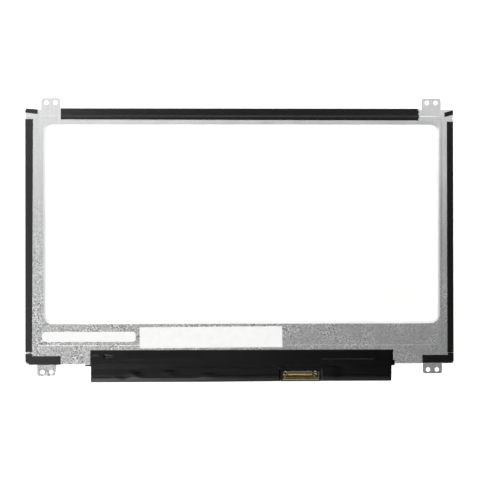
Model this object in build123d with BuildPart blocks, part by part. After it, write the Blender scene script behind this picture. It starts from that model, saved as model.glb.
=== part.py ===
from build123d import *
import os
from math import atan, degrees
from typing import NamedTuple

# Slim edge-lit laptop screen panel, lying face down with its rear side up.
# X runs along the wide side, Y up the panel as seen from behind, Z up from the front face.
# All sizes are in millimetres, and the origin is the middle of the outline on the front face.

# Outline
panel_width = 268.0             # over the edge tapes
panel_height = 159.8            # top edge to bottom edge of the rear frame
board_reach = 11.2              # cover film below the frame's bottom edge
tab_reach = 6.6                 # screw tabs beyond the frame's edge

# Rear frame, one folded steel sheet: an outer land, a raised band and a sloped lip round the window
steel = 0.3
wall_depth = 1.6
bend_radius = 0.5
frame_corner_radius = 0.9
draw_depth = 0.15
draw_run = 0.3
land_left = 7.0
land_right = 7.4
land_top = 4.6
band_left = 5.5
band_right = 2.6
band_top = 5.15
band_bottom = 14.6
band_corner_radius = 3.0
window_corner_radius = 4.7
lip_width = 1.05
top_lip_width = 1.9
relief_width = 0.5
relief_below_top = 5.6
left_relief_length = 4.4
right_relief_length = 2.4
opening_width = 6.2
opening_height = 3.1
opening_below_film_edge = 2.5
opening_from_film_end = 7.9

# Screw tabs, each with two holes
tab_width = 12.1
tab_corner_radius = 1.2
tab_hole_diameter = 2.7
tab_hole_pitch = 5.5
tab_hole_offset = 3.7
bottom_left_hole_offset = 4.5
top_left_tab_inset = 16.0
top_right_tab_inset = 13.9
bottom_left_tab_inset = 13.5
bottom_right_tab_inset = 13.5
bottom_left_tab_reach = 6.9
bottom_right_tab_reach = 6.2
bottom_left_tab_taper = 0.9
tab_relief = 0.6

# Liquid crystal cell
front_polariser_thickness = 0.17
glass_thickness = 0.3
rear_polariser_thickness = 0.15
glass_side_border = 2.5
glass_top_border = 1.4
glass_bottom_border = 1.0
driver_ledge = 4.3
front_polariser_inset = 1.6
rear_polariser_inset = 0.4

# Backlight
active_side_border = 5.95
active_top_border = 5.0
active_bottom_border = 10.8
rim_tape_thickness = 0.07
rim_margin = 1.0
ledge_thickness = 0.3
aperture_margin = 0.8
upper_prism_thickness = 0.12
lower_prism_thickness = 0.12
diffuser_thickness = 0.12
guide_thickness = 0.6
reflector_thickness = 0.15
guide_margin = 2.0
guide_bottom_margin = 1.5
guide_clearance = 0.3
sheet_inset = 0.2
mould_clearance = 0.1

# Light strip on a flex circuit along the lower edge
flex_thickness = 0.1
flex_clearance = 0.04           # to the rear frame
flex_overlap = 3.1
flex_below_leds = 3.8
flex_end_inset = 3.0
led_count = 27
led_width = 3.0
led_depth = 1.0
led_height = 0.6
led_end_margin = 6.0
tail_from_board_left = 34.2
tail_width = 9.0
tail_clearance = 0.3

# Edge tapes
tape = 0.1
front_lap = 1.2
front_fold_radius = 0.15
left_tape_top_width = 5.0
left_tape_bottom_width = 4.35
left_tape_from_top = 6.6
left_tape_from_bottom = 8.05
right_tape_width = 4.1
right_tape_from_top = 8.1
right_tape_from_bottom = 7.0
top_tape_left_width = 6.85
top_tape_right_width = 7.4
top_tape_left_inset = 22.25
top_tape_right_inset = 21.55
top_tape_slack = 0.25
# Torn right end of the top tape: each tear's start, deepest place and stop below the top edge, and its depth
top_tape_tears = [(0.0, 0.0, 1.9, 1.2), (2.6, 3.2, 4.2, 0.65), (5.9, 6.7, 7.3, 0.8)]
corner_fold_depth = 1.2

# Corner strips at the top, slanted
top_left_strip_length = 7.8
top_left_strip_height = 2.8
top_left_strip_overhang = 0.2
top_left_strip_drop = 0.75
top_right_strip_length = 5.5
top_right_strip_height = 2.85
top_right_strip_from_top = 0.95
top_right_strip_drop = 1.35

# Corner strips at the bottom, L-shaped
bottom_left_strip_height = 5.35
bottom_left_corner_cut = 1.9
bottom_left_strip_length = 22.1
bottom_left_leg_width = 4.4
bottom_left_leg_height = 6.85
bottom_right_strip_height = 5.45
bottom_right_corner_cut = 1.5
bottom_right_strip_length = 19.8
bottom_right_leg_width = 3.75
bottom_right_leg_height = 6.85

# Labels
label_thickness = 0.1
narrow_label_length = 58.25
narrow_label_height = 6.3
narrow_label_radius = 2.2
narrow_label_from_left = 10.6
narrow_label_below_window = 5.8
wide_label_length = 89.05
wide_label_height = 13.1
wide_label_radius = 0.6
label_gap = 2.4
wide_label_below_window = 2.85
wide_label_tilt = 0.31

# Control board and its black cover film
film = 0.1
film_lap = 9.05
film_gap = 2.65
film_left_inset = 40.5
film_right_inset = 38.25
film_lower_left_step = 0.3
film_lower_right_step = 0.95
film_slope_run = 2.4
film_shoulder_run = 3.75
film_shoulder_drop = 1.35
film_bend_radius = 0.6
film_front_lap = 4.5
film_dip = 0.15
film_dip_run = 0.2
film_dip_clearance = 0.1
film_ear_width = 1.05
film_ear_above_edge = 2.4
film_ear_below_edge = 0.9
board_thickness = 0.6
board_gap = 1.3
board_end_margin = 0.8
board_edge_clearance = 1.2
board_tongue_reach = 1.0        # under the socket
board_tongue_clearance = 0.1
tallest_component = 1.2

# Chip-on-film drivers
driver_film_thickness = 0.08
driver_film_count = 3
driver_film_width = 36.0
driver_film_pitch = 60.0
driver_glass_lap = 2.5
driver_board_lap = 2.6
driver_chip_length = 16.0
driver_chip_clearance = 0.45
driver_chip_height = 0.4
cover_tape_left_ear = 3.4
cover_tape_right_ear = 0.8
cover_tape_ear_drop = 1.2
cover_tape_clearance = 0.3
board_pass_margin = 0.6

# Display cable socket
socket_x = 37.9
socket_width = 23.0
socket_depth = 6.25
socket_height = 1.1
socket_overhang = 0.95
socket_end_margin = 0.8
socket_rear_step = 0.75
socket_rear_drop = 0.2
socket_window_length = 1.4
socket_roof_length = 3.35
contact_count = 30
contact_row_shift = -0.5        # from the socket's middle
contact_pitch = 0.5
contact_width = 0.24
contact_thickness = 0.12
contact_level = 0.4
contact_tail = 0.5
contact_clearance = 0.02
mouth_side_margin = 0.8
shell_thickness = 0.12
shell_lip_length = 1.5
shell_step = 0.2
shell_ear_length = 2.9
shell_ear_hole = 1.3
shell_arm_width = 0.25
shell_arm_back = 0.4
film_notch_margin = 1.35
film_notch_above_socket = 1.4

# Board components
chip_line_rise = 0.6
controller_size = 6.5
controller_height = 0.8
controller_from_socket = 33.9
power_chip_size = 4.0
power_chip_height = 0.75
power_chip_from_board_left = 68.2
backlight_chip_size = 3.0
backlight_chip_height = 0.75
backlight_chip_from_board_left = 49.2
inductor_size = 4.0
inductor_height = tallest_component
inductor_pitch = 8.0
inductors_from_board_left = 58.7
capacitor_length = 1.6
capacitor_width = 0.8
capacitor_height = 0.8
capacitor_count = 10
capacitor_pitch = 4.0
capacitors_from_board_right = 22.1
resistor_length = 1.0
resistor_width = 0.5
resistor_height = 0.35
resistor_count = 8
resistor_pitch = 2.2
resistors_from_socket = 21.5
component_row_inset = 2.0
backlight_socket_width = 12.0
backlight_socket_depth = 3.2
backlight_socket_height = 0.95
backlight_socket_inset = 0.9
backlight_slot_depth = 2.0
backlight_slot_level = 0.45
backlight_slot_clearance = 0.04


class Rect(NamedTuple):
    """Upright rectangle in plan."""
    left: float
    right: float
    bottom: float
    top: float

    @property
    def width(self):
        return self.right - self.left

    @property
    def height(self):
        return self.top - self.bottom

    @property
    def middle(self):
        return ((self.left + self.right) / 2, (self.bottom + self.top) / 2)

    def grown(self, margin):
        """The same rectangle moved out by a margin on every side."""
        return Rect(self.left - margin, self.right + margin, self.bottom - margin, self.top + margin)


# Outlines in plan
frame_top = panel_height / 2 + (board_reach - tab_reach) / 2
frame_bottom = frame_top - panel_height
panel = Rect(-panel_width / 2, panel_width / 2, frame_bottom, frame_top)
metal = Rect(panel.left + tape, panel.right - tape, frame_bottom, frame_top - tape)
band = Rect(
    panel.left + land_left, panel.right - land_right, frame_bottom + film_lap + film_gap, frame_top - land_top
)
window = Rect(band.left + band_left, band.right - band_right, band.bottom + band_bottom, band.top - band_top)
array = Rect(
    panel.left + glass_side_border,
    panel.right - glass_side_border,
    frame_bottom + glass_bottom_border,
    frame_top - glass_top_border,
)
colour_filter = array._replace(bottom=array.bottom + driver_ledge)
active = Rect(
    panel.left + active_side_border,
    panel.right - active_side_border,
    frame_bottom + active_bottom_border,
    frame_top - active_top_border,
)
guide = active.grown(guide_margin)._replace(bottom=active.bottom - guide_bottom_margin)
led_bottom = guide.bottom - guide_clearance - led_depth
well = guide.grown(guide_clearance)._replace(bottom=led_bottom - guide_clearance)
mould = metal.grown(-steel - mould_clearance)
flex = Rect(
    guide.left + flex_end_inset,
    guide.right - flex_end_inset,
    led_bottom - flex_below_leds,
    guide.bottom + flex_overlap,
)
reflector = guide._replace(bottom=flex.top + sheet_inset)
film_top = frame_bottom + film_lap
film_bottom = frame_bottom - board_reach
film_outline = Rect(panel.left + film_left_inset, panel.right - film_right_inset, film_bottom, film_top)
film_lower_left = film_outline.left + film_lower_left_step
film_lower_right = film_outline.right - film_lower_right_step
board = Rect(
    film_lower_left + board_end_margin,
    film_lower_right - board_end_margin,
    film_bottom + film + board_edge_clearance,
    frame_bottom - board_gap,
)
board_middle_x = board.middle[0]
chip_line_y = board.middle[1] + chip_line_rise
tail_x = board.left + tail_from_board_left
opening = Rect(
    film_outline.left + opening_from_film_end,
    film_outline.left + opening_from_film_end + opening_width,
    film_top - opening_below_film_edge - opening_height,
    film_top - opening_below_film_edge,
)

# Levels above the front face
filter_front = front_polariser_thickness
array_front = filter_front + glass_thickness
array_back = array_front + glass_thickness
rim_front = array_back + rear_polariser_thickness
ledge_front = rim_front + rim_tape_thickness
upper_prism_front = ledge_front + ledge_thickness
lower_prism_front = upper_prism_front + upper_prism_thickness
diffuser_front = lower_prism_front + lower_prism_thickness
guide_front = diffuser_front + diffuser_thickness
reflector_front = guide_front + guide_thickness
land_front = reflector_front + reflector_thickness
land_back = land_front + steel
flex_back = land_front - flex_clearance
flex_front = flex_back - flex_thickness
band_front = land_front + draw_depth
band_back = land_back + draw_depth
wall_front = land_back - wall_depth
board_back = array_front + board_thickness
film_level = board_back + tallest_component

draw_angle = degrees(atan(draw_run / draw_depth))
lip_outline = window.grown(lip_width)._replace(top=window.top + top_lip_width)
lip_corner_radius = window_corner_radius + lip_width


def save(builder, name):
    """Labels a finished piece and writes its file."""
    builder.part.label = name
    export_step(builder.part, f"parts/{name}.step")


def rounded_face(level, outline, radius):
    """Rounded rectangle in plan at a level."""
    with BuildSketch(Plane.XY.offset(level)) as face:
        with Locations(outline.middle):
            RectangleRounded(outline.width, outline.height, radius)
    return face.sketch


def flat_face(level, outline):
    """Plain rectangle in plan at a level."""
    with BuildSketch(Plane.XY.offset(level)) as face:
        with Locations(outline.middle):
            Rectangle(outline.width, outline.height)
    return face.sketch


def polygon_face(level, *points):
    """Straight-sided outline in plan at a level."""
    with BuildSketch(Plane.XY.offset(level)) as face:
        with BuildLine():
            Polyline(*points, close=True)
        make_face()
    return face.sketch


def strip_section(plane, side, thickness, points, radii):
    """Section of a thin strip that lies along a bent line, on one side of it."""
    with BuildSketch(plane) as section:
        with BuildLine():
            FilletPolyline(*points, radius=radii)
            offset(amount=thickness, side=side)
        make_face()
    return section.sketch


def flat_sheet(name, outline, level, thickness):
    """A plain cut sheet."""
    with BuildPart() as sheet:
        extrude(flat_face(level, outline), amount=thickness)
    save(sheet, name)


def ring_sheet(name, outline, opening, level, thickness):
    """A cut sheet with a rectangular opening."""
    with BuildPart() as ring:
        extrude(flat_face(level, outline), amount=thickness)
        extrude(flat_face(level, opening), amount=thickness, mode=Mode.SUBTRACT)
    save(ring, name)


def chip(name, size, height, x):
    """A square chip near the middle line of the board, with a marked corner cut off."""
    with BuildPart() as body:
        with BuildSketch(Plane.XY.offset(board_back)):
            with Locations((x, chip_line_y)):
                Rectangle(size, size)
        extrude(amount=height)
        chamfer(body.edges().filter_by(Axis.Z).group_by(Axis.Y)[0].sort_by(Axis.X)[0], size / 8)
    save(body, name)


def component_row(name, count, pitch, length, width, height, x):
    """A row of like components along the upper edge of the board."""
    with BuildPart() as row:
        with BuildSketch(Plane.XY.offset(board_back)):
            with Locations((x, board.top - component_row_inset)):
                with GridLocations(pitch, 0, count, 1):
                    Rectangle(width, length)
        extrude(amount=height)
    save(row, name)


os.makedirs("parts", exist_ok=True)

# Liquid crystal cell, from the front face up
flat_sheet("front_polariser", colour_filter.grown(-front_polariser_inset), 0, front_polariser_thickness)
flat_sheet("colour_filter_glass", colour_filter, filter_front, glass_thickness)
flat_sheet("array_glass", array, array_front, glass_thickness)
rear_polariser = colour_filter.grown(-rear_polariser_inset)
flat_sheet("rear_polariser", rear_polariser, array_back, rear_polariser_thickness)
ring_sheet("rim_tape", rear_polariser, active.grown(rim_margin), rim_front, rim_tape_thickness)

# Backlight sheets
prism_outline = guide.grown(-sheet_inset)
flat_sheet("upper_prism_sheet", prism_outline, upper_prism_front, upper_prism_thickness)
flat_sheet("lower_prism_sheet", prism_outline, lower_prism_front, lower_prism_thickness)
flat_sheet("diffuser_sheet", prism_outline, diffuser_front, diffuser_thickness)
flat_sheet("light_guide_plate", guide, guide_front, guide_thickness)
flat_sheet("reflector_sheet", reflector, reflector_front, reflector_thickness)

# Moulded plastic frame: a ledge under the sheets, a well for them and a recess for the flex circuit
tail_pass_half = tail_width / 2 + tail_clearance
tail = Rect(tail_x - tail_pass_half, tail_x + tail_pass_half, mould.bottom, well.bottom)
flex_recess = Rect(
    flex.left - guide_clearance, flex.right + guide_clearance, flex.bottom - guide_clearance, well.bottom
)
with BuildPart() as moulded_frame:
    extrude(rounded_face(ledge_front, mould, frame_corner_radius), amount=land_front - ledge_front)
    extrude(flat_face(upper_prism_front, well), amount=land_front - upper_prism_front, mode=Mode.SUBTRACT)
    extrude(flat_face(ledge_front, active.grown(aperture_margin)), amount=ledge_thickness, mode=Mode.SUBTRACT)
    extrude(flat_face(land_front, flex_recess), amount=flex_front - land_front, mode=Mode.SUBTRACT)
    extrude(flat_face(land_front, tail), amount=flex_front - land_front - tail_clearance, mode=Mode.SUBTRACT)
save(moulded_frame, "moulded_frame")

# Rear frame
tabs = [
    (panel.left + top_left_tab_inset, panel.top + tab_reach, tab_hole_offset, 0),
    (panel.right - top_right_tab_inset, panel.top + tab_reach, tab_hole_offset, 0),
    (
        panel.left + bottom_left_tab_inset,
        panel.bottom - bottom_left_tab_reach,
        bottom_left_hole_offset,
        bottom_left_tab_taper,
    ),
    (panel.right - bottom_right_tab_inset, panel.bottom - bottom_right_tab_reach, tab_hole_offset, 0),
]
tab_root = bend_radius + steel
with BuildPart() as rear_frame:
    # Folded tray, open to the front
    extrude(rounded_face(wall_front, metal, frame_corner_radius), amount=wall_depth)
    fillet(rear_frame.faces().sort_by(Axis.Z)[-1].edges(), bend_radius)
    inside = metal.grown(-steel)
    extrude(
        rounded_face(wall_front, inside, frame_corner_radius - steel),
        amount=wall_depth - steel,
        mode=Mode.SUBTRACT,
    )
    # Raised band, drawn up from the land
    extrude(rounded_face(land_back, band, band_corner_radius), amount=draw_depth, taper=draw_angle)
    extrude(
        rounded_face(land_front, band, band_corner_radius),
        amount=draw_depth,
        taper=draw_angle,
        mode=Mode.SUBTRACT,
    )
    # Lip that slopes down to the reflector at the window's edge
    loft(
        [
            rounded_face(band_front, lip_outline, lip_corner_radius),
            rounded_face(land_front, window, window_corner_radius),
        ],
        ruled=True,
    )
    loft(
        [
            rounded_face(band_back, lip_outline, lip_corner_radius),
            rounded_face(land_back, window, window_corner_radius),
        ],
        ruled=True,
        mode=Mode.SUBTRACT,
    )
    extrude(rounded_face(land_front, window, window_corner_radius), amount=steel, mode=Mode.SUBTRACT)
    # Screw tabs, with the wall cut away under them
    for tab_x, tab_end, hole_offset, taper in tabs:
        outward = 1 if tab_end > 0 else -1
        edge_y = metal.top if tab_end > 0 else metal.bottom
        cut = Rect(
            tab_x - tab_width / 2 - tab_relief,
            tab_x + tab_width / 2 + tab_relief,
            min(edge_y, edge_y - outward * tab_root),
            max(edge_y, edge_y - outward * tab_root),
        )
        extrude(flat_face(wall_front, cut), amount=wall_depth, mode=Mode.SUBTRACT)
        with BuildSketch(Plane.XY.offset(land_front)) as tab:
            with BuildLine():
                Polyline(
                    (tab_x - tab_width / 2, edge_y - outward * tab_root),
                    (tab_x + tab_width / 2, edge_y - outward * tab_root),
                    (tab_x + tab_width / 2, edge_y),
                    (tab_x + tab_width / 2 - taper, tab_end),
                    (tab_x - tab_width / 2, tab_end),
                    close=True,
                )
            make_face()
            fillet(tab.vertices().group_by(Axis.Y)[-1 if outward > 0 else 0], tab_corner_radius)
            with Locations((tab_x, edge_y + outward * hole_offset)):
                with GridLocations(tab_hole_pitch, 0, 2, 1):
                    Circle(tab_hole_diameter / 2, mode=Mode.SUBTRACT)
        extrude(amount=steel)
    # Bottom wall left out where the board and its flex circuits pass
    board_pass = Rect(
        film_outline.left - cover_tape_left_ear - board_pass_margin,
        film_outline.right + cover_tape_right_ear + board_pass_margin,
        metal.bottom,
        metal.bottom + tab_root,
    )
    extrude(flat_face(wall_front, board_pass), amount=wall_depth - steel, mode=Mode.SUBTRACT)
    # Bend relief slits near the top corners
    relief_top = metal.top - relief_below_top
    left_relief = Rect(metal.left, metal.left + left_relief_length, relief_top - relief_width, relief_top)
    right_relief = Rect(metal.right - right_relief_length, metal.right, relief_top - relief_width, relief_top)
    for relief in (left_relief, right_relief):
        extrude(flat_face(wall_front, relief), amount=wall_depth, mode=Mode.SUBTRACT)
    # Small opening under the cover film
    extrude(flat_face(land_front, opening), amount=steel, mode=Mode.SUBTRACT)
save(rear_frame, "rear_frame")

# Light strip: flex circuit with its tail, and the light packages
tail_slot_y = board.top - backlight_socket_inset
tail_slot_level = board_back + backlight_slot_level + flex_thickness
tail_end_y = tail_slot_y - backlight_slot_depth + tail_clearance
with BuildPart() as led_flex:
    extrude(flat_face(flex_back, flex), amount=-flex_thickness)
    extrude(
        strip_section(
            Plane.YZ.offset(tail_x - tail_width / 2),
            Side.LEFT,
            flex_thickness,
            [
                (flex.bottom, flex_back),
                (metal.bottom - tail_clearance, flex_back),
                (tail_slot_y + tail_clearance, tail_slot_level),
                (tail_end_y, tail_slot_level),
            ],
            [2 * flex_thickness, 2 * flex_thickness],
        ),
        amount=tail_width,
    )
save(led_flex, "led_flex")

led_pitch = (guide.width - 2 * led_end_margin) / (led_count - 1)
with BuildPart() as led_packages:
    with BuildSketch(Plane.XY.offset(flex_front)):
        with Locations((active.middle[0], led_bottom + led_depth / 2)):
            with GridLocations(led_pitch, 0, led_count, 1):
                Rectangle(led_width, led_depth)
    extrude(amount=-led_height)
save(led_packages, "led_packages")


# Edge tapes: from the rear land over the wall to the front glass
def side_tape_section(y, side, width):
    """Section of a side tape, for the left side (-1) or the right side (1)."""
    wall_x = side * metal.right
    glass_x = side * (array.right - front_lap)
    return strip_section(
        Plane.XZ.offset(-y),
        Side.LEFT if side > 0 else Side.RIGHT,
        tape,
        [
            (side * (panel.right - width), land_back),
            (wall_x, land_back),
            (wall_x, filter_front),
            (glass_x, filter_front),
        ],
        [bend_radius, front_fold_radius],
    )


left_tape_top = panel.top - left_tape_from_top
left_tape_bottom = panel.bottom + left_tape_from_bottom
with BuildPart() as left_tape:
    left_tape_length = left_tape_top - left_tape_bottom
    extrude(side_tape_section(left_tape_top, -1, left_tape_top_width), amount=left_tape_length)
    # Its inner edge runs a little askew
    askew = polygon_face(
        land_back,
        (panel.left + left_tape_top_width, left_tape_top),
        (panel.left + left_tape_top_width, left_tape_bottom),
        (panel.left + left_tape_bottom_width, left_tape_bottom),
    )
    extrude(askew, amount=tape, mode=Mode.SUBTRACT)
save(left_tape, "left_tape")

right_tape_top = panel.top - right_tape_from_top
right_tape_bottom = panel.bottom + right_tape_from_bottom
with BuildPart() as right_tape:
    extrude(side_tape_section(right_tape_top, 1, right_tape_width), amount=right_tape_top - right_tape_bottom)
save(right_tape, "right_tape")

# The top tape climbs from the land onto the raised band, with an askew lower edge and a slack fold
top_tape_left = panel.left + top_tape_left_inset
top_tape_right = panel.right - top_tape_right_inset
top_tape_lowest = panel.top - max(top_tape_left_width, top_tape_right_width)
with BuildPart() as top_tape:
    extrude(
        strip_section(
            Plane.YZ.offset(top_tape_left),
            Side.LEFT,
            tape,
            [
                (top_tape_lowest, band_back),
                (band.top - draw_run, band_back),
                (band.top, land_back),
                (metal.top + top_tape_slack, land_back),
                (metal.top + top_tape_slack, filter_front),
                (array.top - front_lap, filter_front),
            ],
            [0, 0, bend_radius, front_fold_radius],
        ),
        amount=top_tape_right - top_tape_left,
    )
    askew = polygon_face(
        land_back,
        (top_tape_left, top_tape_lowest - tape),
        (top_tape_right, top_tape_lowest - tape),
        (top_tape_right, panel.top - top_tape_right_width),
        (top_tape_left, panel.top - top_tape_left_width),
    )
    extrude(askew, amount=draw_depth + 2 * tape, mode=Mode.SUBTRACT)
    for tear_start, tear_middle, tear_stop, tear_depth in top_tape_tears:
        tear = polygon_face(
            land_back,
            (top_tape_right, panel.top - tear_start),
            (top_tape_right - tear_depth, panel.top - tear_middle),
            (top_tape_right, panel.top - tear_stop),
        )
        extrude(tear, amount=draw_depth + 2 * tape, mode=Mode.SUBTRACT)
save(top_tape, "top_tape")

# Short folds of the corner strips, down a side wall or down the bottom wall
def side_fold_section(y, side):
    """Section of a fold over the left edge (-1) or the right edge (1)."""
    wall_x = side * metal.right
    return strip_section(
        Plane.XZ.offset(-y),
        Side.LEFT if side > 0 else Side.RIGHT,
        tape,
        [
            (wall_x - side * 2 * bend_radius, land_back),
            (wall_x, land_back),
            (wall_x, land_back - corner_fold_depth),
        ],
        [bend_radius],
    )


def bottom_fold_section(x):
    """Section of a fold over the bottom edge."""
    return strip_section(
        Plane.YZ.offset(x),
        Side.RIGHT,
        tape,
        [
            (metal.bottom + 2 * bend_radius, land_back),
            (metal.bottom, land_back),
            (metal.bottom, land_back - corner_fold_depth),
        ],
        [bend_radius],
    )


# Slanted strips at the top corners, folded a little way down the side walls
def top_corner_tape(name, side, length, height, from_top, drop):
    """One slanted strip, for the left side (-1) or the right side (1)."""
    edge_x = side * (metal.right - bend_radius)
    end_x = side * (metal.right - length)
    strip_top = metal.top - from_top
    fold_top = metal.top - max(from_top, frame_corner_radius)
    with BuildPart() as strip:
        extrude(
            polygon_face(
                land_back,
                (edge_x, strip_top),
                (end_x, strip_top - drop),
                (end_x, strip_top - drop - height),
                (edge_x, strip_top - height),
            ),
            amount=tape,
        )
        extrude(side_fold_section(fold_top, side), amount=fold_top - strip_top + height)
    save(strip, name)


top_corner_tape(
    "top_left_corner_tape",
    -1,
    top_left_strip_length,
    top_left_strip_height,
    -top_left_strip_overhang,
    top_left_strip_drop,
)
top_corner_tape(
    "top_right_corner_tape",
    1,
    top_right_strip_length,
    top_right_strip_height,
    top_right_strip_from_top,
    top_right_strip_drop,
)


# L-shaped strips at the bottom corners: a leg that wraps the side, and an arm along the bottom edge
def bottom_corner_tape(name, side, length, height, corner_cut, leg_width, leg_height, folded_tab_inset=None):
    """One corner strip, left (-1) or right (1), its arm folded over the edge beside a tab if one is given."""
    leg_top = panel.bottom + leg_height
    wrap_bottom = panel.bottom + corner_cut
    edge_x = side * (metal.right - bend_radius)
    cut_x = edge_x - side * corner_cut
    end_x = side * (panel.right - length)
    with BuildPart() as strip:
        extrude(side_tape_section(leg_top, side, leg_width), amount=leg_top - wrap_bottom)
        extrude(
            polygon_face(
                land_back,
                (edge_x, panel.bottom + height),
                (end_x, panel.bottom + height),
                (end_x, panel.bottom + bend_radius),
                (cut_x, panel.bottom + bend_radius),
                (edge_x, wrap_bottom),
            ),
            amount=tape,
        )
        if folded_tab_inset:
            tab_x = side * (panel.right - folded_tab_inset)
            tab_half = tab_width / 2 + tab_relief
            over_tab = Rect(tab_x - tab_half, tab_x + tab_half, metal.bottom, metal.bottom + 2 * bend_radius)
            extrude(flat_face(land_back, over_tab), amount=tape)
            for start_x, stop_x in (
                (end_x, tab_x - side * tab_half),
                (tab_x + side * tab_half, cut_x),
            ):
                extrude(bottom_fold_section(start_x), amount=stop_x - start_x)
    save(strip, name)


bottom_corner_tape(
    "bottom_left_corner_tape",
    -1,
    bottom_left_strip_length,
    bottom_left_strip_height,
    bottom_left_corner_cut,
    bottom_left_leg_width,
    bottom_left_leg_height,
    bottom_left_tab_inset,
)
bottom_corner_tape(
    "bottom_right_corner_tape",
    1,
    bottom_right_strip_length,
    bottom_right_strip_height,
    bottom_right_corner_cut,
    bottom_right_leg_width,
    bottom_right_leg_height,
)

# Labels, bare
narrow_label_left = panel.left + narrow_label_from_left
narrow_label_top = window.bottom - narrow_label_below_window
with BuildPart() as narrow_label:
    narrow = Rect(
        narrow_label_left,
        narrow_label_left + narrow_label_length,
        narrow_label_top - narrow_label_height,
        narrow_label_top,
    )
    extrude(rounded_face(band_back, narrow, narrow_label_radius), amount=label_thickness)
save(narrow_label, "narrow_label")

with BuildPart() as wide_label:
    with BuildSketch(Plane.XY.offset(band_back)):
        wide_x = narrow.right + label_gap + wide_label_length / 2
        wide_y = window.bottom - wide_label_below_window - wide_label_height / 2
        with Locations(Location((wide_x, wide_y, 0), (0, 0, wide_label_tilt))):
            RectangleRounded(wide_label_length, wide_label_height, wide_label_radius)
    extrude(amount=label_thickness)
save(wide_label, "wide_label")

# Cover film: from the land over the board, down a shoulder and round its lower edge, cut out for the socket
socket_front = board.bottom - socket_overhang
socket_back = socket_front + socket_depth
fold_inside = film_bottom + film
with BuildPart() as board_cover_film:
    extrude(
        strip_section(
            Plane.YZ.offset(film_outline.left),
            Side.RIGHT,
            film,
            [
                (film_outline.top, land_back),
                (metal.bottom, land_back),
                (metal.bottom - film_slope_run, film_level),
                (film_bottom + film_shoulder_run, film_level),
                (fold_inside, film_level - film_shoulder_drop),
                (fold_inside, array_front),
                (fold_inside + film_front_lap, array_front),
            ],
            [
                film_bend_radius,
                film_bend_radius,
                2 * film_bend_radius,
                film_bend_radius / 2,
                film_bend_radius / 3,
            ],
        ),
        amount=film_outline.width + film_ear_width,
    )
    # Ends cut back, which leaves a small ear on the right at the frame's edge
    ear_right = film_outline.right + film_ear_width
    ear_top = metal.bottom + film_ear_above_edge
    ear_bottom = metal.bottom - film_ear_below_edge
    for trim in (
        Rect(film_outline.left, film_lower_left, film_bottom, ear_bottom),
        Rect(film_lower_right, ear_right, film_bottom, ear_bottom),
        Rect(film_outline.right, ear_right, ear_top, film_top),
    ):
        extrude(flat_face(0, trim), amount=band_back, mode=Mode.SUBTRACT)
    # Dip where the film sinks into the small opening in the land
    dip = opening.grown(-film_dip_clearance)
    for level, mode in ((land_back, Mode.ADD), (land_back + film, Mode.SUBTRACT)):
        loft(
            [flat_face(level, dip), flat_face(level - film_dip, dip.grown(-film_dip_run))],
            ruled=True,
            mode=mode,
        )
    notch = Rect(
        socket_x - socket_width / 2 - film_notch_margin,
        socket_x + socket_width / 2 + film_notch_margin,
        film_bottom,
        socket_back + film_notch_above_socket,
    )
    extrude(flat_face(0, notch), amount=band_back, mode=Mode.SUBTRACT)
save(board_cover_film, "board_cover_film")

# Control board and the chip-on-film drivers that join it to the array glass
with BuildPart() as control_board:
    tongue = Rect(
        notch.left + board_tongue_clearance,
        notch.right - board_tongue_clearance,
        board.bottom - board_tongue_reach,
        board.bottom,
    )
    for outline in (board, tongue):
        extrude(flat_face(array_front, outline), amount=board_thickness)
save(control_board, "control_board")

with BuildPart() as driver_films:
    with BuildSketch(Plane.XY.offset(array_front)):
        films_top = array.bottom + driver_glass_lap
        films_bottom = board.top - driver_board_lap
        with Locations((board_middle_x, (films_top + films_bottom) / 2)):
            with GridLocations(driver_film_pitch, 0, driver_film_count, 1):
                Rectangle(driver_film_width, films_top - films_bottom)
    extrude(amount=-driver_film_thickness)
save(driver_films, "driver_films")

with BuildPart() as driver_chips:
    with BuildSketch(Plane.XY.offset(array_front)):
        with Locations((board_middle_x, (array.bottom + board.top) / 2)):
            with GridLocations(driver_film_pitch, 0, driver_film_count, 1):
                Rectangle(driver_chip_length, array.bottom - board.top - 2 * driver_chip_clearance)
    extrude(amount=driver_chip_height)
save(driver_chips, "driver_chips")

# Black tape over the drivers on the front side, with an ear at each end below the frame's edge
cover_level = array_front - driver_film_thickness
cover_top = colour_filter.bottom - cover_tape_clearance
cover_bottom = fold_inside + film_front_lap + cover_tape_clearance
with BuildPart() as driver_cover_tape:
    upper_cover = Rect(
        film_outline.left - cover_tape_left_ear,
        film_outline.right + cover_tape_right_ear,
        metal.bottom - cover_tape_ear_drop,
        cover_top,
    )
    lower_cover = Rect(film_lower_left, film_lower_right, cover_bottom, metal.bottom)
    extrude(flat_face(cover_level, upper_cover), amount=-tape)
    extrude(flat_face(cover_level, lower_cover), amount=-tape)
save(driver_cover_tape, "driver_cover_tape")

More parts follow.
